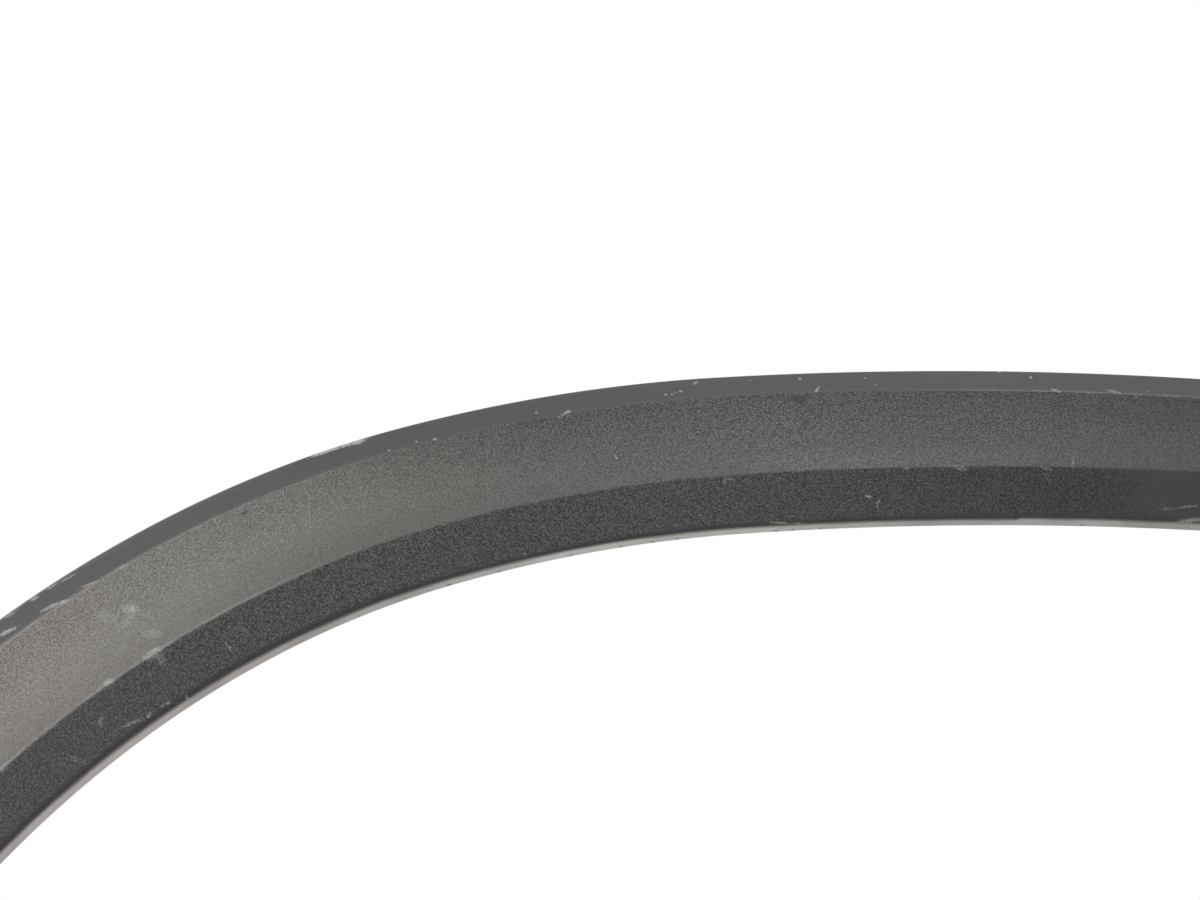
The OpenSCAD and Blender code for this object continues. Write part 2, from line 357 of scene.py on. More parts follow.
# Leg end
# A wall closes the hollow of each leg, and a tab with a screw hole reaches on behind the bumper or sill.
# Two gussets brace the tab against the wall; all of it is moulded in one with the band.
end_wall = 0.0024
tab_width = 0.02592
tab_thickness = 0.0026
tab_reach = 0.014
screw_radius = 0.00325
gusset_length = 0.009
gusset_height = 0.0066
tab_round_steps = 24
leg_mesh = bmesh.new()
end_section = [(wall / 2, step_in)]
end_section += [(behind(k, wall / 2).y, behind(k, wall / 2).x) for k in range(1, len(front_corners))]
end_section += [(band_width - 2 * wall, step_in)]
across_plate(leg_mesh, end_section, -end_wall, end_wall - step_in)

tab_back = -tab_reach - end_wall / 2
half_tab = tab_width / 2
tab_rim = [(half_tab * math.sin(turn), half_tab * math.cos(turn))
           for turn in (math.pi * k / tab_round_steps for k in range(tab_round_steps + 1))]
side_shares = (0.25, 0.5, 0.75, 1)
tab_rim += [(share * tab_back, -half_tab) for share in side_shares]
tab_rim += [(tab_back, half_tab * (2 * share - 1)) for share in side_shares]
tab_rim += [((1 - share) * tab_back, half_tab) for share in side_shares[:-1]]
tab_loops = []
for height in (0, tab_thickness):
    rim = [leg_mesh.verts.new((x + tab_reach, y - fixing_inset, height)) for x, y in tab_rim]
    hole = [leg_mesh.verts.new((tab_reach + screw_radius * x / math.hypot(x, y),
                                -fixing_inset + screw_radius * y / math.hypot(x, y), height))
            for x, y in tab_rim]
    tab_loops.append((rim, hole))
(rim_low, hole_low), (rim_top, hole_top) = tab_loops
for k in range(len(tab_rim)):
    following = (k + 1) % len(tab_rim)
    for first, second in ((rim_low, hole_low), (rim_top, hole_top), (rim_low, rim_top), (hole_low, hole_top)):
        leg_mesh.faces.new((first[k], first[following], second[following], second[k]))
for side in (-1, 1):
    y = -fixing_inset + side * ((tab_width - web_thickness) / 2 - step_in) - web_thickness / 2
    add_prism(leg_mesh, [(-end_wall / 2, y, tab_thickness / 2), (gusset_length, y, tab_thickness / 2),
                         (0, y, gusset_height), (-end_wall / 2, y, gusset_height)],
              Vector((0, web_thickness, 0)))
leg_end = moulded_object("leg_end", leg_mesh)

# Arch moulding
# The whole trim is one injection moulding in black plastic: the band is swept along the outline,
# and the towers, webs and leg ends on its back follow the same line. Both halves are alike.
clip_first = 0.075
clip_pitch = 0.125
clips_per_side = 5


class Field:
    """A node's output. Arithmetic with numbers and other fields adds Math nodes to the tree in work."""

    def __init__(self, socket):
        self.socket = socket

    def __add__(self, other):
        return calc("ADD", self, other)

    def __sub__(self, other):
        return calc("SUBTRACT", self, other)

    def __rsub__(self, other):
        return calc("SUBTRACT", other, self)

    def __mul__(self, other):
        return calc("MULTIPLY", self, other)

    def __abs__(self):
        return calc("ABSOLUTE", self)

    def beside(self, output):
        """Another output of the same node."""
        return Field(self.socket.node.outputs[output])


def set_inputs(node, values):
    """Link each named input of a node to a field, or set it to a value."""
    for name, value in values.items():
        if isinstance(value, Field):
            tree.links.new(value.socket, node.inputs[name])
        else:
            node.inputs[name].default_value = value


def field(kind, values=None, output=0, **settings):
    """An output of a new node of the tree in work, with its settings and inputs."""
    node = tree.nodes.new(kind)
    for name, value in settings.items():
        setattr(node, name, value)
    set_inputs(node, values or {})
    return Field(node.outputs[output])


def calc(operation, *values, clamp=False):
    """The result of a Math node over fields or numbers."""
    return field("ShaderNodeMath", dict(enumerate(values)), operation=operation, use_clamp=clamp)


def new_group(name, kind, inputs, output, output_kind):
    """A node group with named inputs and one output, as (group, its inputs, its output node)."""
    group = bpy.data.node_groups.new(name, kind)
    for socket_name, socket_kind in inputs.items():
        group.interface.new_socket(socket_name, in_out="INPUT", socket_type="NodeSocket" + socket_kind)
    group.interface.new_socket(output, in_out="OUTPUT", socket_type="NodeSocket" + output_kind)
    entry = group.nodes.new("NodeGroupInput")
    given = {socket.name: Field(socket) for socket in entry.outputs if socket.name}
    return group, given, group.nodes.new("NodeGroupOutput")


def from_group(group, values):
    """The output of a node group placed in the tree in work."""
    return field(group.bl_idname.replace("Tree", "Group"), values, node_tree=group)


def stored(geometry, name, value):
    """Geometry whose points carry a named value."""
    return field("GeometryNodeStoreNamedAttribute", {"Geometry": geometry, "Name": name, "Value": value},
                 domain="POINT")


def joined(*parts):
    """Geometries joined into one."""
    join = tree.nodes.new("GeometryNodeJoinGeometry")
    for part in parts:
        tree.links.new(part.socket, join.inputs[0])
    return Field(join.outputs[0])


def object_shape(source):
    """The geometry of an object given to a group."""
    return field("GeometryNodeObjectInfo", {"Object": source}, "Geometry")


def end_group(result, geometry, material):
    """End a group with its instances made real and its material set."""
    real = field("GeometryNodeRealizeInstances", {"Geometry": geometry})
    set_inputs(result, {"Geometry": field("GeometryNodeSetMaterial", {"Geometry": real, "Material": material})})


def run_group(host, group, values, name):
    """The plain mesh that a group of geometry nodes makes on an object with the given inputs."""
    modifier = in_scene(host).modifiers.new(name, "NODES")
    modifier.node_group = group
    for item in group.interface.items_tree:
        if item.in_out == "INPUT" and item.name in values:
            modifier[item.identifier] = values[item.name]
    bpy.context.view_layer.update()
    made = bpy.data.meshes.new_from_object(host.evaluated_get(bpy.context.evaluated_depsgraph_get()))
    host.modifiers.remove(modifier)
    bpy.data.objects.remove(host)
    made.name = name
    return made


# A detail is repeated along the right half of the outline, and mirrored to the left half.
repeat_inputs = {"Outline": "Geometry", "Detail": "Object", "First": "Float", "Pitch": "Float", "Count": "Int",
                 "Half length": "Float"}
tree, given, result = new_group("repeat_on_arch", "GeometryNodeTree", repeat_inputs, "Geometry", "Geometry")
repeat_on_arch = tree
distance = field("GeometryNodeInputIndex") * given["Pitch"] + given["First"] + given["Half length"]
spot = field("GeometryNodeSampleCurve", {"Curves": given["Outline"], "Length": distance}, "Position",
             mode="LENGTH", use_all_curves=True)
turned = field("FunctionNodeAxesToRotation", {
    "Primary Axis": (0, -1, 0), "Secondary Axis": spot.beside("Tangent")}, primary_axis="Z", secondary_axis="X")
spots = field("GeometryNodePoints", {"Count": given["Count"]})
spots = field("GeometryNodeSetPosition", {"Geometry": spots, "Position": spot})
right = field("GeometryNodeInstanceOnPoints", {
    "Points": spots, "Instance": object_shape(given["Detail"]), "Rotation": turned})
right = field("GeometryNodeRealizeInstances", {"Geometry": right})
left = field("GeometryNodeTransform", {"Geometry": right, "Scale": (-1, 1, 1)})
left = field("GeometryNodeFlipFaces", {"Mesh": left})
set_inputs(result, {"Geometry": joined(right, left)})

tree, given, result = new_group("moulded_arch", "GeometryNodeTree", {
    "Outline": "Geometry", "Section": "Object", "Tower": "Object", "Web": "Object", "Leg end": "Object",
    "Peg": "Object", "Half length": "Float", "First clip": "Float", "Clip pitch": "Float",
    "Clips per side": "Int", "First web": "Float", "Web pitch": "Float", "Webs per side": "Int",
    "Peg inset": "Float", "Back girth": "Float", "Plastic": "Material"}, "Geometry", "Geometry")
moulded_arch = tree
run = field("GeometryNodeSplineParameter", output="Length")
band = field("GeometryNodeCurveToMesh", {
    "Curve": stored(given["Outline"], "along", run - given["Half length"]),
    "Profile Curve": stored(object_shape(given["Section"]), "girth", run), "Fill Caps": True})
details = [from_group(repeat_on_arch, {
    "Outline": given["Outline"], "Detail": given[detail], "First": given[first], "Pitch": given[pitch],
    "Count": count, "Half length": given["Half length"]}) for detail, first, pitch, count in (
        ("Tower", "First clip", "Clip pitch", given["Clips per side"]),
        ("Web", "First web", "Web pitch", given["Webs per side"]),
        ("Leg end", "Half length", "Clip pitch", 1))]
peg_place = field("ShaderNodeCombineXYZ", {"Z": given["Peg inset"]})
details.append(field("GeometryNodeTransform", {
    "Geometry": object_shape(given["Peg"]), "Translation": peg_place, "Rotation": (math.pi / 2, 0, 0)}))
end_group(result, joined(band, stored(joined(*details), "girth", given["Back girth"])), given["Plastic"])

grained_plastic = bpy.data.materials.new("grained_plastic")
detail_objects = {"Section": band_section, "Tower": clip_tower, "Web": cross_web, "Leg end": leg_end,
                  "Peg": locating_peg}
for detail_object in detail_objects.values():
    in_scene(detail_object)
moulding_mesh = run_group(arch_outline, moulded_arch, {
    **detail_objects, "Half length": half_edge, "First clip": clip_first, "Clip pitch": clip_pitch,
    "Clips per side": clips_per_side, "First web": clip_first - clip_pitch / 4,
    "Web pitch": clip_pitch / 2, "Webs per side": 2 * clips_per_side, "Peg inset": fixing_inset,
    "Back girth": back_girth, "Plastic": grained_plastic}, "arch_moulding")
for detail_object in detail_objects.values():
    bpy.data.objects.remove(detail_object)

# Wear of the moulding
# Use has left its marks: scuffs, nicks and pits, a frayed stretch of the outer edge, a notch and small burrs
# on the lip. The mesh is made finer there, takes their relief, and keeps their masks for the plastic.
MILLIMETRES = 1000
# A mark: mm along from the crown, mm from the outer edge, length, width, tilt in degrees, mask, mm deep
pale_marks = (
    (-351, 26, 3.2, 1.8, -40, 2.2, 0.05), (-371, 45.5, 2.4, 1.2, 20, 2.6, 0.15),
    (-352, 45, 2.8, 1.1, 15, 2.2, 0.15),
    (-351.8, 26.1, 8, 4.2, 57, 0.75, 0.05), (-354.4, 29.3, 8.5, 3.4, -21, 0.45, 0.04),
    (-359.4, 23.7, 9, 4.5, 66, 0.3, 0), (-348.6, 31.9, 7.5, 0.9, 64, 0.35, 0.03),
    (-350.1, 39.3, 6, 4, 44, 0.45, 0.04), (-354, 45.7, 7, 3, 4, 1.1, 0.3),
    (-352.7, 48.3, 4.2, 2.6, -82, 0.5, 0.1), (-371.2, 45.4, 4, 2, 12, 1.2, 0.2),
    (-380.4, 52, 2.5, 0.9, -17, 1, 0.06), (-381.3, 52.9, 2, 0.8, -80, 1, 0.05),
    (-372.2, 57.4, 7.5, 1, 11, 1, 0.05), (-366.4, 58.2, 2.3, 0.9, -25, 1, 0.06),
    (-359.9, 58.3, 3.5, 0.8, 4, 0.9, 0.05), (-331, 54.5, 4.2, 0.8, 84, 1.1, 0.05),
    (-352.2, 60.2, 2, 1.2, 73, 0.4, 0.1), (-366.7, 1.3, 3.9, 0.9, 3, 0.55, 0.05),
    (-372.7, 1.4, 3.2, 1.3, -7, 0.55, 0.05), (-385.1, 5.6, 5.7, 1.4, 10, 0.75, 0.06),
    (-381.1, 1.3, 3.9, 0.9, 6, 0.4, 0.04), (-361.2, 1.9, 5.1, 0.8, 3, 0.4, 0.04),
    (-370.2, 7.2, 7.9, 1.3, 9, 0.55, 0.05), (-366, 8.8, 4, 1.7, 21, 0.6, 0.05),
    (-357.2, 7.9, 5.6, 0.9, 14, 0.4, 0.04), (-345.3, 9, 4.3, 1.3, 6, 0.55, 0.05),
    (-413.5, 46.1, 3.5, 1.6, 1, 0.7, 0.2), (-394.5, 56.3, 5.5, 2.2, 57, 0.25, 0),
    (-324.2, 52, 4, 2, 34, 0.25, 0), (-271.1, 0.9, 12, 1.4, 0, 0.9, 0.12),
    (-262.4, 0.9, 10.8, 1.6, 2, 0.9, 0.15), (-261, 1.4, 4.2, 1.4, 1, 0.6, 0.08),
    (-251.8, 7.8, 0.8, 0.7, 18, 0.92, 0.08), (-242.1, 7.3, 0.8, 0.7, 17, 0.69, 0.08),
    (-236, 8.3, 1.5, 0.9, 11, 0.6, 0.08), (-231.3, 9.5, 1.6, 0.8, -6, 0.5, 0.05),
    (-200.2, 6.1, 0.9, 0.8, 12, 0.92, 0.08), (-217.7, 59.1, 1.2, 0.8, 9, 0.6, 0.08),
    (-212.3, 59.1, 1.2, 0.8, 9, 0.6, 0.08), (-191.9, 9.2, 4.2, 1.3, -19, 0.45, 0.06),
    (-189.7, 8.1, 3, 1.3, -15, 0.65, 0.08), (-154.9, 5.9, 0.9, 0.7, 5, 1.03, 0.08),
    (-152.8, 6, 0.8, 0.7, 6, 0.86, 0.08), (-151.3, 5.5, 0.7, 0.6, 5, 0.75, 0.08),
    (-149.5, 5.3, 0.9, 0.7, 5, 0.98, 0.08), (-157.1, 9.8, 0.7, 0.6, 7, 0.69, 0.05),
    (-143.8, 2.3, 2.4, 0.9, -31, 0.6, 0.06), (-124.9, 2.5, 0.9, 0.7, 3, 0.57, 0.06),
    (-107.4, 2.6, 1, 0.8, 3, 0.92, 0.08), (-101.9, 7.1, 2.5, 0.7, -55, 0.6, 0.05),
    (-102.4, 7.9, 1.1, 0.8, -31, 1.03, 0.08), (-178.1, 32.5, 2.3, 0.7, 83, 0.75, 0.05),
    (-142.2, 47.6, 2.9, 1, -85, 0.6, 0.2), (-140.3, 47.1, 3.3, 1, 11, 0.35, 0.1),
    (-124.3, 59.9, 6, 0.8, 7, 0.5, 0.05), (-117.4, 60.3, 3.2, 0.7, 5, 0.3, 0.04),
    (-84.7, 3.2, 0.8, 0.6, 1, 0.46, 0.05), (-81.2, 5.9, 0.8, 0.6, 1, 0.34, 0.05),
    (-37.1, 0.9, 1.1, 0.8, -1, 0.63, 0.06), (-26.1, 2.9, 1.1, 0.8, -1, 1.03, 0.08),
    (10.5, 0.7, 1, 0.7, -3, 0.46, 0.05), (14.9, 7, 0.9, 0.7, -3, 0.46, 0.05),
    (9.8, 10.3, 1.1, 0.8, -4, 0.92, 0.08), (-17.8, 8.5, 4, 1.4, 21, 0.5, 0.05),
    (2.5, 7.9, 5.1, 1.2, 14, 0.42, 0.05), (-79.8, 46.3, 3, 1, -21, 0.6, 0.2),
    (-61.6, 46.3, 5.2, 1.8, 10, 0.4, 0.25), (-31.3, 46.6, 4.3, 1.2, 10, 0.3, 0.15),
    (-21.6, 43.5, 5.3, 0.7, -72, 0.6, 0.06), (-93.1, 53.8, 2.5, 0.8, 1, 1, 0.06),
    (-89.5, 55.4, 1.9, 0.7, -47, 0.9, 0.05), (-89.9, 56.7, 2.2, 0.7, 83, 0.95, 0.05),
    (-31.3, 49.4, 4.4, 0.6, 49, 0.25, 0.03), (11.1, 56.7, 6.7, 0.6, -5, 0.35, 0.04),
    (17.9, 55.9, 8.2, 0.6, -9, 0.5, 0.05), (19.2, 59.6, 9.8, 1.6, -11, 0.45, 0.06),
    (-40.1, 60.9, 3, 1.6, 0, 0.5, 0.35))
dark_marks = (
    (-304.1, 12.3, 3, 2, 0, 0.6, 0.05), (-109.3, 11.2, 7.6, 3.6, 0, 0.8, 0), (-109, 12.8, 4, 4, 0, 0.8, 0),
    (-110.3, 22.3, 3, 18, 6, 0.22, 0), (-116, 27.5, 2.2, 2.4, 0, 0.3, 0), (-41.7, 60.2, 1.2, 1.6, 20, 0.8, 0.3))
# A burr on the foot of the lip: mm along from the crown, length, mm proud
burr_inset = 61.2
burrs = ((-247.1, 2, 0.3), (-228, 1.6, 0.3), (-201.2, 1.8, 0.35), (-182.1, 1.4, 0.3), (-170.2, 1.6, 0.35),
         (-160.9, 2, 0.3), (-124.7, 1.8, 0.4), (-118.8, 1.2, 0.35), (-109.1, 1.2, 0.35), (-18.2, 1.6, 0.35))
dark_marks += tuple((at, burr_inset, length, 1.0, 0, 0.5, -proud) for at, length, proud in burrs)
wear_cuts = 5
wear_margin = 1.3
coarse_grit, fine_grit = 1600, 4100
cover_reach, cover_soft = 1.2, 0.6
smoothing_angle = math.radians(32)


def mark_place(mark):
    """A mark's middle round the section and its half extents along and across the band, in millimetres."""
    at_along, at_inset, length, width, tilt = mark[:5]
    turn = math.radians(tilt)
    return (at_along, MILLIMETRES * girth_at(at_inset / MILLIMETRES),
            abs(length * math.cos(turn)) / 2 + abs(width * math.sin(turn)) / 2 + wear_margin,
            abs(length * math.sin(turn)) / 2 + abs(width * math.cos(turn)) / 2 + wear_margin)


def mark_cover(mark, across, away, grit):
    """How much of a mark covers a point, from 0 to 1: it ends in a ragged outline."""
    length, width, tilt = mark[2:5]
    turn = math.radians(tilt)
    radius = math.hypot((away * math.cos(turn) + across * math.sin(turn)) / (length / 2),
                        (across * math.cos(turn) - away * math.sin(turn)) / (width / 2))
    share = min(max((cover_reach - radius - cover_soft * grit) / cover_soft, 0), 1)
    return share * share * (3 - 2 * share)


# The marks are sorted by the centimetres of the arch that they reach.
marks_by_centimetre = {}
for name, marks in (("pale", pale_marks), ("dark", dark_marks)):
    for mark in marks:
        place = mark_place(mark)
        first, last = ((place[0] + side * place[2]) // 10 for side in (-1, 1))
        for centimetre in range(int(first), int(last) + 1):
            marks_by_centimetre.setdefault(centimetre, []).append((name, mark, place))


def marks_near(along, girth):
    """The marks that may reach a point of the band, each with the point's distance from its middle."""
    for name, mark, (at_along, at_girth, reach_along, reach_girth) in marks_by_centimetre.get(along // 10, ()):
        across, away = girth - at_girth, along - at_along
        if abs(away) <= reach_along and abs(across) <= reach_girth:
            yield name, mark, across, away


worn_mesh = bmesh.new()
worn_mesh.from_mesh(moulding_mesh)
layers = worn_mesh.verts.layers.float
along_layer, girth_layer = layers["along"], layers["girth"]
mask_layers = {name: layers.new(name) for name in ("pale", "dark")}
foot_mm = MILLIMETRES * foot_girth
finer = set()
for face in worn_mesh.faces:
    middle_along, middle_girth = (
        MILLIMETRES * sum(vertex[layer] for vertex in face.verts) / len(face.verts)
        for layer in (along_layer, girth_layer))
    if len(face.verts) == 4 and middle_girth < foot_mm + 1 and any(marks_near(middle_along, middle_girth)):
        finer.update(face.edges)
bmesh.ops.subdivide_edges(worn_mesh, edges=[edge for edge in worn_mesh.edges if edge in finer],
                          cuts=wear_cuts, use_grid_fill=True)
bmesh.ops.triangulate(worn_mesh, faces=[face for face in worn_mesh.faces if len(face.verts) > 4],
                      ngon_method="BEAUTY")
worn_mesh.normal_update()
moves = []
for vertex in worn_mesh.verts:
    vertex_along, vertex_girth = MILLIMETRES * vertex[along_layer], MILLIMETRES * vertex[girth_layer]
    if vertex_girth > foot_mm + 2:
        continue
    depth = 0.0
    for name, mark, across, away in marks_near(vertex_along, vertex_girth):
        grit = noise_at(vertex.co * coarse_grit) + 0.5 * noise_at(vertex.co * fine_grit)
        cover = mark_cover(mark, across, away, grit)
        vertex[mask_layers[name]] = max(vertex[mask_layers[name]], cover * mark[5])
        depth += cover * mark[6] * (0.75 + 0.5 * grit)
    if depth:
        moves.append((vertex, vertex.co - vertex.normal * depth / MILLIMETRES))
for vertex, moved in moves:
    vertex.co = moved
worn_mesh.to_mesh(moulding_mesh)
worn_mesh.free()


def smooth_piece(name, mesh):
    """A piece of a mesh, smooth but for the edges where its faces meet at a wide angle."""
    mesh.polygons.foreach_set("use_smooth", [True] * len(mesh.polygons))
    mesh.set_sharp_from_angle(angle=smoothing_angle)
    return in_scene(bpy.data.objects.new(name, mesh))


arch_moulding = smooth_piece("arch_moulding_piece", moulding_mesh)
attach(arch_moulding, "root")
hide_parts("arch_moulding")

# Grained plastic
# Black plastic with a leather grain moulded into it on the main and the lower face; the border, the lip
# and the back are smooth. It is weathered: chalked towards the left leg, rubbed pale on its edges, scuffed.
# Light and shade are painted into its colour as well: a sheen towards the left leg, light and shade along
# the arch, shade in the grain's valleys, a shadow before the lip and a reflection on the lip.
# The sockets of a Mix node that mixes colours
MIX_SHARE, MIX_FIRST, MIX_SECOND, MIX_COLOUR = 0, 6, 7, 2


def fade(value, low, high, to_low=0, to_high=1):
    """A smooth change from one level to another while a value goes from low to high."""
    return field("ShaderNodeMapRange", {
        "Value": value, "From Min": low, "From Max": high, "To Min": to_low, "To Max": to_high},
        interpolation_type="SMOOTHSTEP")


def between(share, first, second):
    """A value between two values."""
    return field("ShaderNodeMapRange", {"Value": share, "To Min": first, "To Max": second})


def blend(share, first, second):
    """A colour between two colours."""
    return field("ShaderNodeMix", {MIX_SHARE: share, MIX_FIRST: first, MIX_SECOND: second}, MIX_COLOUR,
                 data_type="RGBA")


def scaled(vector, factor):
    """A colour or vector times a number or a field."""
    if isinstance(vector, tuple):
        vector = vector[:3]
    return field("ShaderNodeVectorMath", {0: vector, "Scale": factor}, operation="SCALE")


def noise(vector, scale, detail=2, roughness=0.5):
    """Noise with a number of waves per unit of the vector."""
    return field("ShaderNodeTexNoise", {
        "Vector": vector, "Scale": scale, "Detail": detail, "Roughness": roughness}, "Fac")


def mesh_value(name):
    """A value kept on the mesh."""
    return field("ShaderNodeAttribute", output="Fac", attribute_name=name)


def bump(height, distance):
    """The surface's normal, tilted by a height."""
    return field("ShaderNodeBump", {"Strength": 1, "Distance": distance, "Height": height}, "Normal")


def start_material(material):
    """The node tree and the shader of a material."""
    material.use_nodes = True
    return material.node_tree, material.node_tree.nodes["Principled BSDF"]


# Leather grain: pebbles of uneven size, parted by fine valleys.
tree, given, result = new_group("leather_grain", "ShaderNodeTree", {
    "Vector": "Vector", "Pebbles per metre": "Float"}, "Height", "Float")
leather_grain = tree
pitched = scaled(given["Vector"], given["Pebbles per metre"])
drift = field("ShaderNodeTexNoise", {"Vector": pitched, "Scale": 0.7, "Detail": 2}, "Color")
drifted = field("ShaderNodeVectorMath", {0: drift, 1: (1.1, 1.1, 1.1), 2: pitched}, operation="MULTIPLY_ADD")
cells = field("ShaderNodeTexVoronoi", {"Vector": drifted, "Scale": 1, "Randomness": 1}, feature="F1")
pebble = field("ShaderNodeSeparateColor", {"Color": cells.beside("Color")}, "Red")
folds = fade(noise(pitched, 2.3, 1), 0.36, 0.64)
set_inputs(result, {"Height": fade(cells, 0.72, 0.12) * (pebble * 0.3 + 0.7) * 0.6 + folds * 0.4})

# Road dust: a film that lies in clouds and breaks up into specks, from none to a whole film.
tree, given, result = new_group("road_dust", "ShaderNodeTree", {
    "Vector": "Vector", "Clouds per metre": "Float", "Specks per metre": "Float", "Speckle": "Float",
    "Bare at": "Float", "Thick at": "Float"}, "Film", "Float")
road_dust = tree
dust_clouds = noise(given["Vector"], given["Clouds per metre"], 3, 0.55)
dust_specks = noise(given["Vector"], given["Specks per metre"], 4, 0.65)
set_inputs(result, {"Film": fade(
    dust_specks * given["Speckle"] + dust_clouds, given["Bare at"], given["Thick at"])})

tree, shader = start_material(grained_plastic)
place = field("ShaderNodeTexCoord", output="Object")
along, girth = (mesh_value(name) * MILLIMETRES for name in ("along", "girth"))
border_mm, ridge_mm, lip_mm = (MILLIMETRES * value for value in (border_end, ridge_girth, lip_girth))
grain_limit = border_mm + 0.85
pebble_height = from_group(leather_grain, {"Vector": place, "Pebbles per metre": 1500})
ragged = noise(place, 1100, 3, 0.6)
cloud = noise(place, 22, 3, 0.55)
patch = noise(place, 90, 3, 0.6)

# Regions round the section, with the ragged limit of the grain along the smooth border. Places along the
# arch and round the section are in millimetres.
girth_ragged = girth + (ragged - 0.5) * 1.6
past_border = fade(girth_ragged, grain_limit - 0.15, grain_limit + 0.15)
before_lip = fade(girth_ragged + fade(along, -200, -330), lip_mm - 2.7, lip_mm - 1, 1, 0)
on_front = fade(girth, foot_mm + 0.1, foot_mm + 0.4, 1, 0)
grained = past_border * before_lip
past_ridge = fade(girth, ridge_mm - 0.4, ridge_mm + 0.4)
lip_start = girth - fade(along, -120, -420, lip_mm, lip_mm - 0.5) + fade(along, -40.7, -40.1, 0, 0.35)
on_lip = fade(lip_start, -0.9, 0.1) * on_front

# Colours
border_grey = (0.0825, 0.083, 0.081, 1)
main_grey = (0.098, 0.099, 0.096, 1)
# Main face towards the left leg: chalked, and paler and warmer with a painted sheen of the window light
chalk_and_sheen_grey = (0.184, 0.18, 0.165, 1)
warm_tint_and_sheen_grey = (0.204, 0.182, 0.168, 1)
lower_grey = (0.096, 0.1, 0.097, 1)
lower_chalked = (0.101, 0.0995, 0.0945, 1)
# A painted shadow where the lower face meets the lip
painted_lip_shadow = (0.036, 0.036, 0.035, 1)
# The lip's greys are far paler than the plastic: partly its own pale edge, partly a painted reflection of the
# pale room, warmer towards the left leg
lip_grey_and_reflection = (0.27, 0.26, 0.25, 1)
lip_pale_and_reflection = (0.57, 0.56, 0.54, 1)
lip_warm_and_reflection = (0.62, 0.57, 0.555, 1)
rubbed_grey = (0.5, 0.495, 0.48, 1)
stain_black = (0.03, 0.03, 0.03, 1)
back_grey = (0.05, 0.051, 0.053, 1)
back_dust = (0.15, 0.142, 0.128, 1)

# The main face: chalked and warmer towards the left leg, partly weathering and partly a painted sheen of
# the window light; darker below the border over the crown and the right; painted light near the ridge over
# the crown and painted shade near it at the left
chalk_and_sheen = calc("ADD", fade(along, -60, -420), (cloud - 0.5) * 0.3, clamp=True)
warm_tint_and_sheen = fade(along, -300, -400) * fade(cloud, 0.25, 0.6)
main_colour = blend(warm_tint_and_sheen, blend(chalk_and_sheen, main_grey, chalk_and_sheen_grey), warm_tint_and_sheen_grey)
# Darker just below the border, over the crown and the right
darker_below_border = fade(girth, border_mm, border_mm + 26, 0.16, 0) * fade(along, -330, -180)
left_side = fade(along, -215, -300)
far_left = fade(along, -290, -345)
# Painted light and shade on the main face: brighter towards the left leg and over the middle of the arch,
# brighter near the ridge over the crown and darker near it at the left, darker right of the crown
left_painted_sheen = fade(far_left * -4.5 + girth, border_mm + 16, ridge_mm - 2, 0.39, -0.05) + far_left * 0.07
near_ridge_painted_light = (fade(along, -150, -95, 0, 0.2) * fade(along, -50, -15, 1, 0)
            + fade(along, -310, -270, 0, -0.1) * fade(along, -215, -170, 1, 0))
main_tone_and_painted_light = ((1 - darker_below_border) * (left_side * left_painted_sheen + 1)
              * (near_ridge_painted_light * fade(girth, ridge_mm - 13, ridge_mm - 3) + 1)
              * fade(along, -190, -110, 1, 1.27) * fade(along, -30, 70, 1, 0.79))
# The lower face, darker and more even, with painted light: brighter towards the left leg, dimmer to the right
lower_colour = blend(fade(along, -170, -280), lower_grey, lower_chalked)
lower_painted_light = left_side * 0.17 + fade(along, -200, 60, 1.27, 1)
lower_painted_light = lower_painted_light * fade(along, 55, 95, 1, 0.88)
colour = blend(past_ridge, scaled(main_colour, main_tone_and_painted_light), scaled(lower_colour, lower_painted_light))
# The grain: its tops chalked pale and painted shade in its valleys, worn flat on a stretch of the lower face
# at the right; painted shade also darkens the faces towards the right
# Painted shade: both faces darker towards the right end of the arch, the lower face a little more
right_painted_shade = fade(along, -150, 40, 1, 0.7) - past_ridge * fade(along, -200, 30, 0, 0.16)
worn_flat = past_ridge * fade(along, -20, 14) * fade(along, 60, 100, 1, 0)
depth = calc("MAXIMUM", past_ridge, fade(girth, border_mm, ridge_mm, 1, 0.55)) * (worn_flat * -0.8 + 1)
contrast = depth * between(past_ridge, fade(along, -290, -130, 0.85, 1.55), fade(
    along, -400, -320, 0.75, 1.05))
pebble_chalk_and_shade = ((pebble_height - 0.42) * contrast + 0.5) * 2
colour = scaled(colour, pebble_chalk_and_shade * right_painted_shade)
# The smooth parts: a painted shadow before the lip, the border with painted light along the arch, and the
# lip that pales towards its foot, partly its own colour and partly a painted reflection of the pale room,
# with painted highlights along it
colour = blend(before_lip, scaled(painted_lip_shadow, between(ragged, 0.6, 1.8)), colour)
# Painted light: the border lighter from the left shoulder to the crown, less so at the right; the patch is its
# own uneven tone
border_tone_and_painted_light = (patch - 0.5) * 0.12 + fade(along, -205, -125, 1, 1.14) * fade(
    along, -50, 20, 1, 0.91)
colour = blend(past_border, scaled(border_grey, border_tone_and_painted_light), colour)
down_lip = fade((patch - 0.5) * 1.2 + lip_start, -0.4, 0.75)
lip_colour = blend(down_lip, lip_grey_and_reflection, blend(fade(along, -280, -350), lip_pale_and_reflection, lip_warm_and_reflection))
# Painted highlight: the lip brighter from the left shoulder to the crown, dimmer at the right; the cloud is its
# own uneven tone
lip_tone_and_highlight = (fade(cloud, 0.3, 0.7, 0.8, 1.22) * fade(along, -120, 20, 1, 0.9)
             * fade(along, -290, -225, 1, 1.3) * fade(along, -100, -45, 1, 0.77))
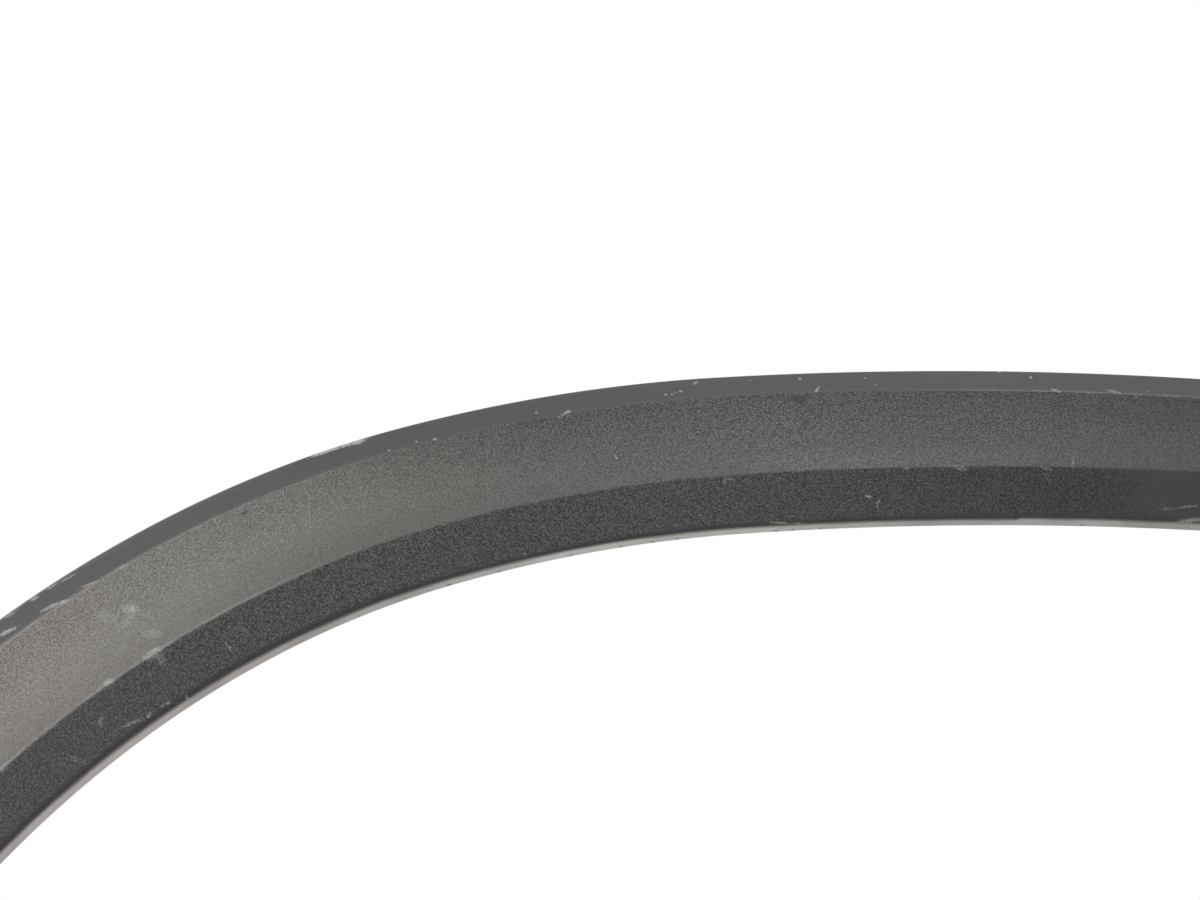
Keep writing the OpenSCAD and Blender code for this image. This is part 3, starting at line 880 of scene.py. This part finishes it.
# Rubbed pale: the ridge towards the left leg, and the crest of the border over the crown
ridge_rub = fade(abs(girth_ragged - (ridge_mm - 0.1)), 0.9, 0.15) * fade(along, -262, -345, 0, 0.4)
crest_rub = fade(abs(girth_ragged - grain_limit), 0.5, 0.1) * (
    fade(along, -90, -30, 0, 0.3) + fade(along, -230, -330, 0, 0.25))
rub = calc("MAXIMUM", ridge_rub, crest_rub) * fade(patch, 0.3, 0.6, 0.45, 1.1)
colour = blend(on_lip, blend(rub, colour, rubbed_grey), scaled(lip_colour, lip_tone_and_highlight))
# Marks, from the masks kept on the mesh
touched = between(grained, ragged, pebble_height)
pale = calc("MULTIPLY", mesh_value("pale"), fade(touched, 0.25, 0.58, 0.5, 1.35), clamp=True)
colour = blend(mesh_value("dark"), blend(pale, colour, rubbed_grey), stain_black)
# The back: smooth and darker, with a film of road dust that lies in clouds and runs
flow = field("ShaderNodeVectorMath", {0: place, 1: (1, 1, 0.22)}, operation="MULTIPLY")
back_film = from_group(road_dust, {
    "Vector": flow, "Clouds per metre": 22, "Specks per metre": 260, "Speckle": 0.7, "Bare at": 0.7,
    "Thick at": 1.1})
filmed = between(back_film, 0.04, 0.42) * fade(ragged, 0.3, 0.6, 0.7, 1)
colour = blend(on_front, blend(filmed, back_grey, back_dust), colour)

# Gloss and relief
gloss = grained * 0.14 + 0.46 + pale * 0.2 + filmed * (1 - on_front) * 0.6
gloss = calc("ADD", gloss, (patch - 0.5) * 0.12, clamp=True)
relief = pebble_height * (grained * depth) + ragged * 0.12 + pale * (ragged * 0.5)
set_inputs(shader, {"Base Color": colour, "Roughness": gloss, "Normal": bump(relief, 0.00036)})

# Panel clips
# Ten push-in clips of natural nylon, each moulded in one piece: a foot disc slid into a tower's slot, a neck,
# a flange, and a barbed stem, split so that it springs through a hole of the wing. Dusty, barbs scuffed.
foot_radius = 0.006
foot_low = plate_height + plate_thickness
foot_thickness = 0.0014
neck_radius = 0.0032
flange_radius = 0.0075
flange_low = plate_height - 0.0012
stem_radius = 0.003
stem_tip = flange_low - 0.014
tip_radius = 0.0018
barb_shoulder = flange_low - 0.0036
barb_radius = 0.0048
barb_low = barb_shoulder - (barb_radius - stem_radius)
split_width = 0.0016
split_low = stem_tip + tip_radius
split_high = flange_low - 0.0018
nylon_bevel = 0.00015
cut_slack = 1e-7
clip_mesh = bmesh.new()
clip_outline = [
    (0, stem_tip), (tip_radius, stem_tip), (barb_radius, barb_low), (stem_radius, barb_shoulder),
    (stem_radius, flange_low), (flange_radius, flange_low), (flange_radius, plate_height),
    (neck_radius, plate_height), (neck_radius, foot_low), (foot_radius, foot_low)]
add_lathe(clip_mesh, clip_outline, lambda y: foot_low + foot_thickness)
for cut_at, cut_along in (((0, -split_width / 2, 0), (0, 1, 0)), ((0, split_width / 2, 0), (0, 1, 0)),
                          ((0, 0, split_low), (0, 0, 1)), ((0, 0, split_high), (0, 0, 1))):
    bmesh.ops.bisect_plane(clip_mesh, geom=clip_mesh.verts[:] + clip_mesh.edges[:] + clip_mesh.faces[:],
                           plane_co=cut_at, plane_no=cut_along, dist=cut_slack)
split_faces = []
for face in clip_mesh.faces:
    middle = face.calc_center_median()
    if abs(middle.y) < split_width / 2 and split_low < middle.z < split_high:
        split_faces.append(face)
bmesh.ops.delete(clip_mesh, geom=split_faces, context="FACES")
bmesh.ops.bridge_loops(clip_mesh, edges=[edge for edge in clip_mesh.edges if edge.is_boundary])
bmesh.ops.translate(clip_mesh, verts=clip_mesh.verts, vec=(0, -fixing_inset, 0))
panel_clip = moulded_object("panel_clip", clip_mesh, nylon_bevel)

# A detail is repeated along both halves of the outline, as a piece of its own.
tree, given, result = new_group("row_on_arch", "GeometryNodeTree", {**repeat_inputs, "Finish": "Material"},
                                "Geometry", "Geometry")
row_on_arch = tree
finish = given.pop("Finish")
end_group(result, from_group(repeat_on_arch, given), finish)


def row_piece(name, detail, finish):
    """The piece made by repeating a detail at every clip's place."""
    mesh = run_group(bpy.data.objects.new(name, outline_data), row_on_arch, {
        "Detail": in_scene(detail), "First": clip_first, "Pitch": clip_pitch, "Count": clips_per_side,
        "Half length": half_edge, "Finish": finish}, name)
    bpy.data.objects.remove(detail)
    return smooth_piece(name, mesh)


clip_nylon = bpy.data.materials.new("clip_nylon")
panel_clips = row_piece("panel_clips_piece", panel_clip, clip_nylon)
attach(panel_clips, "root")
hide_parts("panel_clips")

nylon_colour = (0.6, 0.575, 0.5, 1)
nylon_aged = (0.47, 0.42, 0.32, 1)
nylon_dust = (0.13, 0.12, 0.105, 1)
nylon_scuff = (0.24, 0.235, 0.225, 1)
tree, shader = start_material(clip_nylon)
place = field("ShaderNodeTexCoord", output="Object")
rise = field("ShaderNodeSeparateXYZ", {"Vector": place}, "Y") * MILLIMETRES
fine = noise(place, 900, 4, 0.65)
clip_film = from_group(road_dust, {
    "Vector": place, "Clouds per metre": 120, "Specks per metre": 900, "Speckle": 0.5, "Bare at": 0.62,
    "Thick at": 0.95})
settled = fade(rise, 3, -0.6, 0.18, 0.75) * clip_film
scuffed = fade(fine * 1.6 + abs(rise + MILLIMETRES * barb_low), 1.7, 0.7) * 0.8
colour = blend(fade(noise(place, 120, 4, 0.6), 0.35, 0.65), nylon_colour, nylon_aged)
colour = blend(scuffed, blend(settled, colour, nylon_dust), nylon_scuff)
set_inputs(shader, {
    "Base Color": colour, "Roughness": settled * 0.35 + 0.36 + fine * 0.14, "Subsurface Weight": 0.12,
    "Subsurface Scale": 0.001, "Normal": bump(fine * (scuffed * 1.5 + 0.5), 0.00006)})

# Clip seals
# A washer of black closed-cell foam on each clip's stem, pressed against its flange, that keeps water out of
# the hole in the wing. Die-cut from sheet: a porous skin, soft slightly uneven rims, grey dust in the pores.
seal_radius = 0.0085
seal_bore = stem_radius + 0.0003
seal_thickness = 0.0018
seal_soft = 0.0003
seal_unevenness = 0.00012
lumps_around = 5
seal_steps = 72
seal_low, seal_top = flange_low - seal_thickness, flange_low
seal_profile = [(seal_bore, seal_low + seal_soft), (seal_bore, seal_top - seal_soft),
                (seal_bore + seal_soft, seal_top), (seal_radius - seal_soft, seal_top),
                (seal_radius - seal_soft * 0.3, seal_top - seal_soft * 0.3),
                (seal_radius, seal_top - seal_soft), (seal_radius - seal_soft * 0.4, (seal_low + seal_top) / 2),
                (seal_radius, seal_low + seal_soft),
                (seal_radius - seal_soft * 0.3, seal_low + seal_soft * 0.3),
                (seal_radius - seal_soft, seal_low), (seal_bore + seal_soft, seal_low)]
seal_mesh = bmesh.new()
seal_rings = []
for k in range(seal_steps):
    turn = 2 * math.pi * k / seal_steps
    ring = []
    for radius, height in seal_profile:
        if radius > flange_radius:
            around = Vector((math.cos(turn), math.sin(turn), height / seal_radius))
            radius -= seal_unevenness * (0.5 + 0.5 * noise_at(around * lumps_around))
        ring.append(seal_mesh.verts.new((
            radius * math.cos(turn), radius * math.sin(turn) - fixing_inset, height)))
    seal_rings.append(ring)
for ring, following_ring in zip(seal_rings, seal_rings[1:] + seal_rings[:1]):
    for k in range(len(seal_profile)):
        following = (k + 1) % len(seal_profile)
        seal_mesh.faces.new((ring[k], ring[following], following_ring[following], following_ring[k]))
seal_foam = bpy.data.materials.new("seal_foam")
clip_seals = row_piece("clip_seals_piece", moulded_object("clip_seal", seal_mesh, 0), seal_foam)
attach(clip_seals, "root")
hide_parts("clip_seals")

foam_black = (0.022, 0.022, 0.023, 1)
# The pores are darker than the skin: painted shade in them
foam_pore_shade = (0.008, 0.008, 0.008, 1)
foam_dust = (0.14, 0.132, 0.12, 1)
tree, shader = start_material(seal_foam)
place = field("ShaderNodeTexCoord", output="Object")
cells = field("ShaderNodeTexVoronoi", {"Vector": place, "Scale": 2300, "Randomness": 1}, feature="F1")
pore = fade(cells, 0.18, 0.5)
seal_film = from_group(road_dust, {
    "Vector": place, "Clouds per metre": 260, "Specks per metre": 1500, "Speckle": 0.4, "Bare at": 0.62,
    "Thick at": 0.98})
dusted = seal_film * fade(pore, 0.9, 0.2, 0.35, 0.9)
set_inputs(shader, {
    "Base Color": blend(dusted, blend(pore, foam_pore_shade, foam_black), foam_dust),
    "Roughness": dusted * 0.1 + 0.82, "Normal": bump(noise(place, 260, 4, 0.6) * 0.5 + pore, 0.00015)})

# Light and ground
# A pale room with the broad light of a window at the upper left, a weaker fill from the right, and a plain
# floor under the legs. Seen directly or as a reflection the room is white; otherwise it lights only softly.
room_light = 0.25
lamp_aim = Vector((0, 0, -0.1))
floor_glow = 0.38
floor_half = 6
world = bpy.data.worlds.new("pale_room")
world.use_nodes = True
bpy.context.scene.world = world
tree = world.node_tree
seen = field("ShaderNodeLightPath", output="Is Camera Ray")
for ray in ("Is Glossy Ray", "Is Transmission Ray"):
    seen = calc("MAXIMUM", seen, field("ShaderNodeLightPath", output=ray))
set_inputs(tree.nodes["Background"], {"Color": (1, 1, 1, 1), "Strength": between(seen, room_light, 1)})

for lamp_name, stand, spread, power, tint in (
        ("window", (-5.4, -3, 3.75), 20, 1.89, (1, 0.985, 0.965)),
        ("fill", (2.4, -3.2, 0.2), 28, 0.63, (0.95, 0.98, 1))):
    lamp_data = bpy.data.lights.new(lamp_name, "SUN")
    lamp_data.angle = math.radians(spread)
    lamp_data.energy = power
    lamp_data.color = tint
    lamp = in_scene(bpy.data.objects.new(lamp_name, lamp_data))
    lamp.matrix_world = Matrix.Translation(stand) @ (
        lamp_aim - Vector(stand)).to_track_quat("-Z", "Y").to_matrix().to_4x4()

floor_material = bpy.data.materials.new("pale_floor")
tree, shader = start_material(floor_material)
camera_ray = field("ShaderNodeLightPath", output="Is Camera Ray")
set_inputs(shader, {"Base Color": (0.85, 0.85, 0.85, 1), "Roughness": 0.7, "Emission Color": (1, 1, 1, 1),
                    "Emission Strength": camera_ray * floor_glow})
# From below, the camera looks through the floor
from_below = camera_ray * field("ShaderNodeNewGeometry", output="Backfacing")
set_inputs(tree.nodes["Material Output"], {"Surface": field("ShaderNodeMixShader", {
    0: from_below, 1: Field(shader.outputs[0]), 2: field("ShaderNodeBsdfTransparent")})})
floor_mesh = bmesh.new()
bmesh.ops.create_grid(floor_mesh, x_segments=1, y_segments=1, size=floor_half)
bmesh.ops.translate(floor_mesh, verts=floor_mesh.verts, vec=(0, 0, cad_box[0][2]))
floor_data = bpy.data.meshes.new("floor")
floor_mesh.to_mesh(floor_data)
floor_mesh.free()
floor_data.materials.append(floor_material)
floor = in_scene(bpy.data.objects.new("floor", floor_data))

bpy.context.scene.view_settings.view_transform = "Standard"
